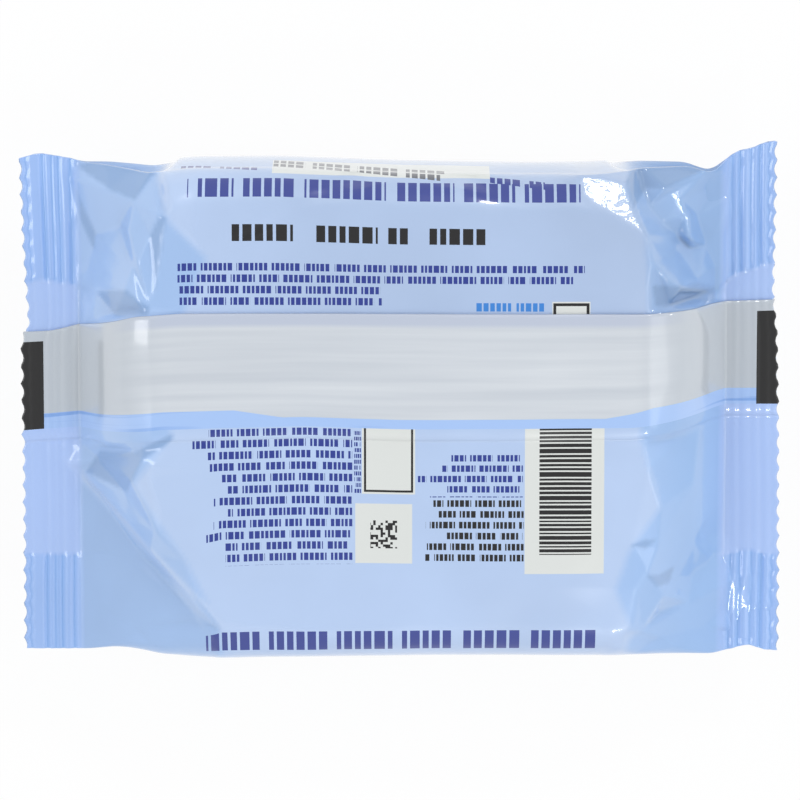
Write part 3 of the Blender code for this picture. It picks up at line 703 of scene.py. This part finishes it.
# Each cut end is closed between the points of its own rim, so that no gap is left.
for column in (0, len(columns) - 1):
    rim = sorted((vert for vert in sheet.verts if place[vert][0] == column), key=lambda vert: place[vert][1])
    flat = [Vector((vert.co.y, vert.co.z)) / MM for vert in rim]
    _, _, faces, origins = geometry.delaunay_2d_cdt(flat, [], [list(range(len(rim)))], 1, 1e-5)[:4]
    for face in faces:
        if all(origins[number] for number in face):
            sheet.faces.new([rim[origins[number][0]] for number in face]).material_index = CUT_SLOT
bmesh.ops.triangulate(sheet, faces=[face for face in sheet.faces if len(face.verts) > 4])
bmesh.ops.recalc_face_normals(sheet, faces=sheet.faces)
film_mesh = bpy.data.meshes.new("sealed_film")
sheet.to_mesh(film_mesh)
sheet.free()
film = bpy.data.objects.new("sealed_film", film_mesh)
bpy.context.scene.collection.objects.link(film)


def colour(hex_text):
    """An sRGB hex value as linear RGBA."""
    parts = [int(hex_text[n:n + 2], 16) / 255 for n in (0, 2, 4)]
    return [part / 12.92 if part <= 0.04045 else ((part + 0.055) / 1.055) ** 2.4 for part in parts] + [1.0]


def add(tree, kind, inputs=None, **settings):
    """One node, with its settings and its inputs by number or name: a value, or a socket to link."""
    node = tree.nodes.new(kind)
    for name, value in settings.items():
        setattr(node, name, value)
    for name, value in (inputs or {}).items():
        if isinstance(value, bpy.types.NodeSocket):
            tree.links.new(value, node.inputs[name])
        else:
            node.inputs[name].default_value = value
    return node


def math_of(tree, operation, *values):
    return add(tree, "ShaderNodeMath", dict(enumerate(values)), operation=operation).outputs[0]


def ramp(tree, value, start, end, low=0.0, high=1.0):
    """Even change from low at start to high at end."""
    return add(tree, "ShaderNodeMapRange", {0: value, 1: start, 2: end, 3: low, 4: high}).outputs[0]


def mixed(tree, share, first, second, blend_type="MIX"):
    """Two colours mixed. A Mix node takes its colours at inputs 6 and 7."""
    node = add(tree, "ShaderNodeMix", {0: share, 6: first, 7: second}, data_type="RGBA", blend_type=blend_type)
    return node.outputs[2]


def new_material(name):
    """A material, its node tree and its shader."""
    material = bpy.data.materials.new(name)
    material.use_nodes = True
    return material, material.node_tree, material.node_tree.nodes["Principled BSDF"]


def film_place(tree):
    """A point's place on the flat film, whole and as its two coordinates."""
    whole = add(tree, "ShaderNodeUVMap", uv_map="film").outputs[0]
    split = add(tree, "ShaderNodeSeparateXYZ", {0: whole})
    return whole, split.outputs[0], split.outputs[1]


def box_mask(tree, u, v, left, right, low, high):
    wide = math_of(tree, "COMPARE", u, (left + right) / 2 * MM, (right - left) / 2 * MM)
    tall = math_of(tree, "COMPARE", v, (low + high) / 2 * MM, (high - low) / 2 * MM)
    return math_of(tree, "MULTIPLY", wide, tall)


def rows_of_blocks(tree, u, v, box, pitch, fill, block, ragged, seed, flip=False):
    """Rows of blocks of uneven width with wider gaps now and then, like print seen from too far away to read."""
    left, right, low, high = box
    line = math_of(tree, "DIVIDE", math_of(tree, "SUBTRACT", high * MM, v), pitch * MM)
    number = math_of(tree, "FLOOR", line)
    in_line = math_of(tree, "COMPARE", math_of(tree, "FRACT", line), fill / 2, fill / 2)
    from_start = math_of(tree, "SUBTRACT", right * MM, u) if flip else math_of(tree, "SUBTRACT", u, left * MM)
    apart = math_of(tree, "MULTIPLY_ADD", number, 37.3, seed)
    line_chance = add(tree, "ShaderNodeTexWhiteNoise", {"W": apart}, noise_dimensions="1D").outputs[0]
    cuts = []
    for size, gap in ((block, 0.13), (block * 6.0, 0.07)):
        cell = math_of(tree, "ADD", math_of(tree, "DIVIDE", from_start, size * MM), apart)
        edges = add(tree, "ShaderNodeTexVoronoi", {"W": cell, "Scale": 1.0, "Randomness": 0.75},
                    voronoi_dimensions="1D", feature="DISTANCE_TO_EDGE").outputs[0]
        cuts.append(math_of(tree, "GREATER_THAN", edges, gap))
    filled = math_of(tree, "MULTIPLY", *cuts)
    width = (right - left) * MM
    reach = math_of(tree, "MULTIPLY_ADD", line_chance, -ragged * width, width)
    inside = math_of(tree, "LESS_THAN", from_start, reach)
    ink = math_of(tree, "MULTIPLY", filled, math_of(tree, "MULTIPLY", in_line, inside))
    return math_of(tree, "MULTIPLY", ink, box_mask(tree, u, v, *box))


# Polypropylene packaging film, printed pale blue on its inner side, so that the face is glossy clear plastic over
# the colour. White wipes behind it lighten it. Some facets at the folded corners and above the fin are painted
# darker, partly for a second film behind them and partly as painted shade. The seals have a tint of their own,
# deeper where four films lie together and deeper still in the jaws' hollows there, as painted shade. Text is left
# out: its places hold rows of plain blocks and bars.
film_print, tree, shader = new_material("printed_polypropylene_film")
film_uv, u, v = film_place(tree)
backed = add(tree, "ShaderNodeAttribute", attribute_name="wipes_behind").outputs["Fac"]
layered_and_hollow_shade = add(tree, "ShaderNodeAttribute", attribute_name="film_layers_and_hollow_shade").outputs["Fac"]
folded_in_and_shaded = add(tree, "ShaderNodeAttribute", attribute_name="second_film_and_shade").outputs["Fac"]
place_3d = add(tree, "ShaderNodeTexCoord").outputs["Object"]

cloud = add(tree, "ShaderNodeTexNoise", {"Vector": place_3d, "Scale": 38.0, "Detail": 3.0}).outputs[0]
in_seal = ramp(tree, math_of(tree, "ABSOLUTE", u), 66.4 * MM, 68.0 * MM)
right_slope = ramp(tree, u, 46.0 * MM, 60.0 * MM)
HOLLOW, HOLLOW_RIGHT, BACKED = colour("A5C4F0"), colour("98BDEE"), colour("B9CFF2")
FOLDED_AND_SHADED, SEALED, SEALED_DEEP = colour("8CADDA"), colour("B0CAFA"), colour("8DB6F1")
tint = mixed(tree, backed, mixed(tree, right_slope, HOLLOW, HOLLOW_RIGHT), BACKED)
# Painted shade, together with a second film behind, darkens the listed facets.
tint = mixed(tree, folded_in_and_shaded, tint, FOLDED_AND_SHADED)
tint = mixed(tree, in_seal, tint, SEALED)
# Deeper where four films lie together, with painted shade in the jaws' hollows.
tint = mixed(tree, math_of(tree, "MULTIPLY", in_seal, layered_and_hollow_shade), tint, SEALED_DEEP)
# The print is clouded a little, and darker above the fin, except at the left and in the seals.
shade = ramp(tree, cloud, 0.3, 0.7, 0.955, 1.03)
upper = ramp(tree, v, -6.0 * MM, 24.0 * MM)
off_left = ramp(tree, u, -42.0 * MM, -15.0 * MM)
unsealed = math_of(tree, "SUBTRACT", 1.0, in_seal)
darker = math_of(tree, "MULTIPLY", math_of(tree, "MULTIPLY", upper, off_left), unsealed)
shade = math_of(tree, "MULTIPLY", shade, math_of(tree, "MULTIPLY_ADD", darker, -0.1, 1.0))
grey = add(tree, "ShaderNodeCombineXYZ", {0: shade, 1: shade, 2: shade}).outputs[0]
tint = mixed(tree, 1.0, tint, grey, "MULTIPLY")

NAVY, BLACK, PAPER, SKY = colour("2A3C92"), colour("1E1E20"), colour("DEE2E0"), colour("3C86D8")
printed = tint
# Pale fields under the dots, the bars, the outlined boxes and the sloping rows, as (left, right, low, high) in mm on
# the flat film
for box in (
    (-9.2, 2.5, -31.4, -19.0),
    (25.6, 41.9, -33.5, -3.0),
    (-7.8, 3.1, -17.0, -3.0),
    (31.1, 38.9, 15.0, 22.9),
    (-26.2, 18.4, 49.4, 60.0),
):
    printed = mixed(tree, box_mask(tree, u, v, *box), printed, PAPER)
# Rows that slope down to the right round the upper long edge
GREY = colour("50545F")
slanted = math_of(tree, "MULTIPLY_ADD", u, 0.16, v)
for box, ink in (
    ((-26.0, 8.2, 49.8, 52.2), GREY),
    ((-26.0, 9.5, 52.9, 55.6), GREY),
    ((18.4, 29.6, 51.0, 53.0), NAVY),
    ((-45.0, -29.0, 46.0, 48.0), NAVY),
):
    strip = rows_of_blocks(tree, u, slanted, box, 6.0, 0.9, 1.6, 0.0, 21.0)
    printed = mixed(tree, strip, printed, ink)
# Level rows, which start at the right end of their box where flip is True
for box, pitch, fill, block, ragged, seed, flip, ink in (
    ((-44.0, 36.8, 43.4, 47.8), 6.0, 0.74, 2.3, 0.0, 3.0, False, NAVY),
    ((-41.5, 40.3, -50.6, -45.4), 6.0, 0.82, 2.3, 0.0, 5.0, True, NAVY),
    ((-34.8, -20.0, 34.6, 37.9), 4.4, 0.76, 2.5, 0.0, 8.0, False, BLACK),
    ((-17.2, 1.6, 34.6, 37.9), 4.4, 0.76, 2.4, 0.0, 9.0, False, BLACK),
    ((5.7, 17.4, 34.6, 37.9), 4.4, 0.76, 2.4, 0.0, 10.0, False, BLACK),
    ((-45.4, 39.3, 25.8, 30.3), 2.27, 0.66, 1.05, 0.05, 11.0, False, NAVY),
    ((-45.0, -3.0, 21.3, 25.8), 2.27, 0.66, 1.05, 0.22, 12.0, False, NAVY),
    ((15.6, 29.5, 20.5, 22.6), 2.6, 0.66, 1.3, 0.0, 13.0, False, SKY),
    ((-43.0, -9.8, -31.6, -3.6), 2.33, 0.66, 1.05, 0.24, 14.0, True, NAVY),
    ((3.1, 25.2, -17.6, -8.8), 2.15, 0.62, 0.95, 0.35, 15.0, True, NAVY),
    ((4.1, 25.4, -31.6, -18.2), 2.25, 0.62, 0.95, 0.3, 16.0, True, BLACK),
    ((-9.4, -8.0, -17.0, -4.0), 1.2, 0.7, 0.45, 0.0, 17.0, True, NAVY),
):
    printed = mixed(tree, rows_of_blocks(tree, u, v, box, pitch, fill, block, ragged, seed, flip), printed, ink)

# A bar pattern with plain random bars, and a field of random dots
bar_edges = add(tree, "ShaderNodeTexVoronoi", {"W": math_of(tree, "DIVIDE", v, 0.95 * MM), "Scale": 1.0},
                voronoi_dimensions="1D", feature="DISTANCE_TO_EDGE").outputs[0]
bars = math_of(tree, "MULTIPLY", math_of(tree, "GREATER_THAN", bar_edges, 0.17),
               box_mask(tree, u, v, 28.6, 39.3, -29.5, -3.0))
printed = mixed(tree, bars, printed, BLACK)
dot_size = (0.5 * MM,) * 3
dot_spot = add(tree, "ShaderNodeVectorMath", {0: film_uv, 1: dot_size}, operation="DIVIDE").outputs[0]
dot_cell = add(tree, "ShaderNodeVectorMath", {0: dot_spot}, operation="FLOOR").outputs[0]
dot_chance = add(tree, "ShaderNodeTexWhiteNoise", {"Vector": dot_cell}, noise_dimensions="3D").outputs[0]
dots = math_of(tree, "MULTIPLY", math_of(tree, "GREATER_THAN", dot_chance, 0.5),
               box_mask(tree, u, v, -6.1, -0.6, -28.3, -22.5))
printed = mixed(tree, dots, printed, BLACK)
# Outlined boxes: left, right, low, high and the width of the line in mm
for left, right, low, high, line in ((-7.4, 2.7, -16.6, 2.0, 0.45), (31.3, 38.7, 12.0, 22.6, 0.6)):
    outer = box_mask(tree, u, v, left, right, low, high)
    inner = box_mask(tree, u, v, left + line, right - line, low + line, high - line)
    printed = mixed(tree, math_of(tree, "SUBTRACT", outer, inner), printed, BLACK)
tree.links.new(printed, shader.inputs["Base Color"])

# Fine wrinkles all over, and stronger sharp ones on the facets that are pulled flat
wrinkle = add(tree, "ShaderNodeTexNoise", {"Vector": place_3d, "Scale": 120.0, "Detail": 4.0}).outputs[0]
taut = add(tree, "ShaderNodeAttribute", attribute_name="crinkled").outputs["Fac"]
crinkle_inputs = {"Vector": place_3d, "Scale": 230.0, "Detail": 2.0, "Distortion": 0.6}
crinkle = add(tree, "ShaderNodeTexNoise", crinkle_inputs).outputs[0]
crinkle = math_of(tree, "MULTIPLY", math_of(tree, "ABSOLUTE", math_of(tree, "SUBTRACT", crinkle, 0.5)), taut)
wrinkle = math_of(tree, "MULTIPLY_ADD", crinkle, 10.0, wrinkle)
film_bump = add(tree, "ShaderNodeBump", {"Height": wrinkle, "Strength": 0.10, "Distance": 0.3 * MM})
tree.links.new(film_bump.outputs[0], shader.inputs["Normal"])
tree.links.new(film_bump.outputs[0], shader.inputs["Coat Normal"])
shader.inputs["Roughness"].default_value = 0.3
shader.inputs["IOR"].default_value = 1.49
shader.inputs["Coat Weight"].default_value = 1.0
shader.inputs["Coat Roughness"].default_value = 0.07
shader.inputs["Coat IOR"].default_value = 1.5

# The fin's bare margin: the same film without print, milky over its grey seal layer, with black register marks at
# both cut ends.
fin_film, tree, shader = new_material("bare_film_margin")
film_uv, u, v = film_place(tree)
from_edge = math_of(tree, "SUBTRACT", v, ON_FIN)
streak_place = add(tree, "ShaderNodeVectorMath", {0: film_uv, 1: (14.0, 420.0, 1.0)}, operation="MULTIPLY")
streak_inputs = {"Vector": streak_place.outputs[0], "Scale": 1.0, "Detail": 3.0}
streaks = add(tree, "ShaderNodeTexNoise", streak_inputs).outputs[0]
bare = mixed(tree, ramp(tree, streaks, 0.3, 0.7), colour("C8CFD8"), colour("D7DDE4"))
near_edge = ramp(tree, from_edge, 3.2 * MM, 2.2 * MM)
bare = mixed(tree, near_edge, bare, colour("BFC8DA"))
past_wipes = ramp(tree, math_of(tree, "ABSOLUTE", u), 48.0 * MM, 60.0 * MM)
bare = mixed(tree, past_wipes, bare, colour("C0C8D1"))
# The blue print shows beside the fold, where the bare margin stops: the margin narrows towards both ends
leftwards = ramp(tree, u, -24.0 * MM, -34.0 * MM)
rightwards = ramp(tree, u, 42.0 * MM, 52.0 * MM)
narrower = math_of(tree, "MULTIPLY_ADD", math_of(tree, "ADD", leftwards, rightwards), -1.7 * MM, 21.9 * MM)
blue_band = math_of(tree, "GREATER_THAN", from_edge, narrower)
# Painted shade: darker blue streaks stand for the shade in the creases of the rolled band.
creased = ramp(tree, streaks, 0.52, 0.6)
bare = mixed(tree, blue_band, bare, mixed(tree, creased, colour("A9C8F8"), colour("86ADEA")))
at_end = math_of(tree, "GREATER_THAN", math_of(tree, "ABSOLUTE", u), 74.7 * MM)
mark_low = math_of(tree, "GREATER_THAN", from_edge, 2.6 * MM)
mark = math_of(tree, "MULTIPLY", at_end, mark_low)
bare = mixed(tree, mark, bare, colour("232324"))
tree.links.new(bare, shader.inputs["Base Color"])
shader.inputs["Roughness"].default_value = 0.3
shader.inputs["IOR"].default_value = 1.49
shader.inputs["Coat Weight"].default_value = 1.0
shader.inputs["Coat Roughness"].default_value = 0.12

# Both cut ends show the edges of the film's layers, duller and paler than its face.
cut_edge, tree, shader = new_material("cut_film_edge")
shader.inputs["Base Color"].default_value = colour("BCD2F4")
shader.inputs["Roughness"].default_value = 0.5

for material in (film_print, fin_film, cut_edge):  # in the order of the slots
    film_mesh.materials.append(material)
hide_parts("sealed_pack")
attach(film, "root")

# The floor is a plain white sheet, which stays white to the camera and in reflections but keeps the pack's shadow.
bpy.ops.mesh.primitive_plane_add(size=6.0, location=(0.0, 0.0, 0.0))
floor = bpy.context.object
floor.name = "floor"
floor_paint, tree, shader = new_material("white_floor")
shader.inputs["Base Color"].default_value = colour("F8F9FA")
shader.inputs["Roughness"].default_value = 0.9
ray = add(tree, "ShaderNodeLightPath")
seen = math_of(tree, "MAXIMUM", ray.outputs["Is Camera Ray"], ray.outputs["Is Glossy Ray"])
glow = add(tree, "ShaderNodeEmission", {"Color": (1.0, 1.0, 1.0, 1.0), "Strength": 1.0})
FLOOR_GLOW = 0.94  # the rest is the paint itself, which shows the shadow
share = math_of(tree, "MULTIPLY", seen, FLOOR_GLOW)
white = add(tree, "ShaderNodeMixShader", {0: share, 1: shader.outputs[0], 2: glow.outputs[0]})
tree.links.new(white.outputs[0], tree.nodes["Material Output"].inputs["Surface"])
floor.data.materials.append(floor_paint)
floor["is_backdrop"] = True

# Soft studio light: a white room that is dimmer round the camera overhead, so that the level film mirrors nothing
# bright, a soft box at each side, and small bright ones, which only tilted facets and sharp folds catch.
world = bpy.data.worlds.new("studio")
bpy.context.scene.world = world
world.use_nodes = True
tree = world.node_tree
direction = add(tree, "ShaderNodeTexCoord").outputs["Generated"]
upwards = add(tree, "ShaderNodeSeparateXYZ", {0: direction}).outputs[2]
room = ramp(tree, upwards, 0.82, 0.96, 0.78, 0.3)
tree.links.new(room, tree.nodes["Background"].inputs[1])
tree.nodes["Background"].inputs[0].default_value = (1.0, 1.0, 1.0, 1.0)
LAMPS = (  # name, place in metres, width, depth, radiance
    ("right_soft_box", (0.62, -0.1, 0.72), 0.3, 0.4, 1.0),
    ("left_soft_box", (-0.62, 0.1, 0.72), 0.3, 0.5, 3.4),
    ("far_box", (0.31, 0.6, 0.7), 0.13, 0.13, 26.0),
    ("near_box", (0.26, -0.46, 0.8), 0.1, 0.1, 26.0),
    ("side_box", (0.8, 0.21, 0.41), 0.07, 0.07, 26.0),
)
for name, place_at, width, depth, radiance in LAMPS:
    lamp_data = bpy.data.lights.new(name, "AREA")
    lamp_data.shape = "RECTANGLE"
    lamp_data.size, lamp_data.size_y = width, depth
    lamp_data.energy = radiance * math.pi * width * depth
    lamp = bpy.data.objects.new(name, lamp_data)
    bpy.context.scene.collection.objects.link(lamp)
    lamp.location = place_at
    lamp.rotation_euler = (Vector(place_at) - aim).to_track_quat("Z", "Y").to_euler()

bpy.context.scene.view_settings.view_transform = "Standard"

low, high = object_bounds()
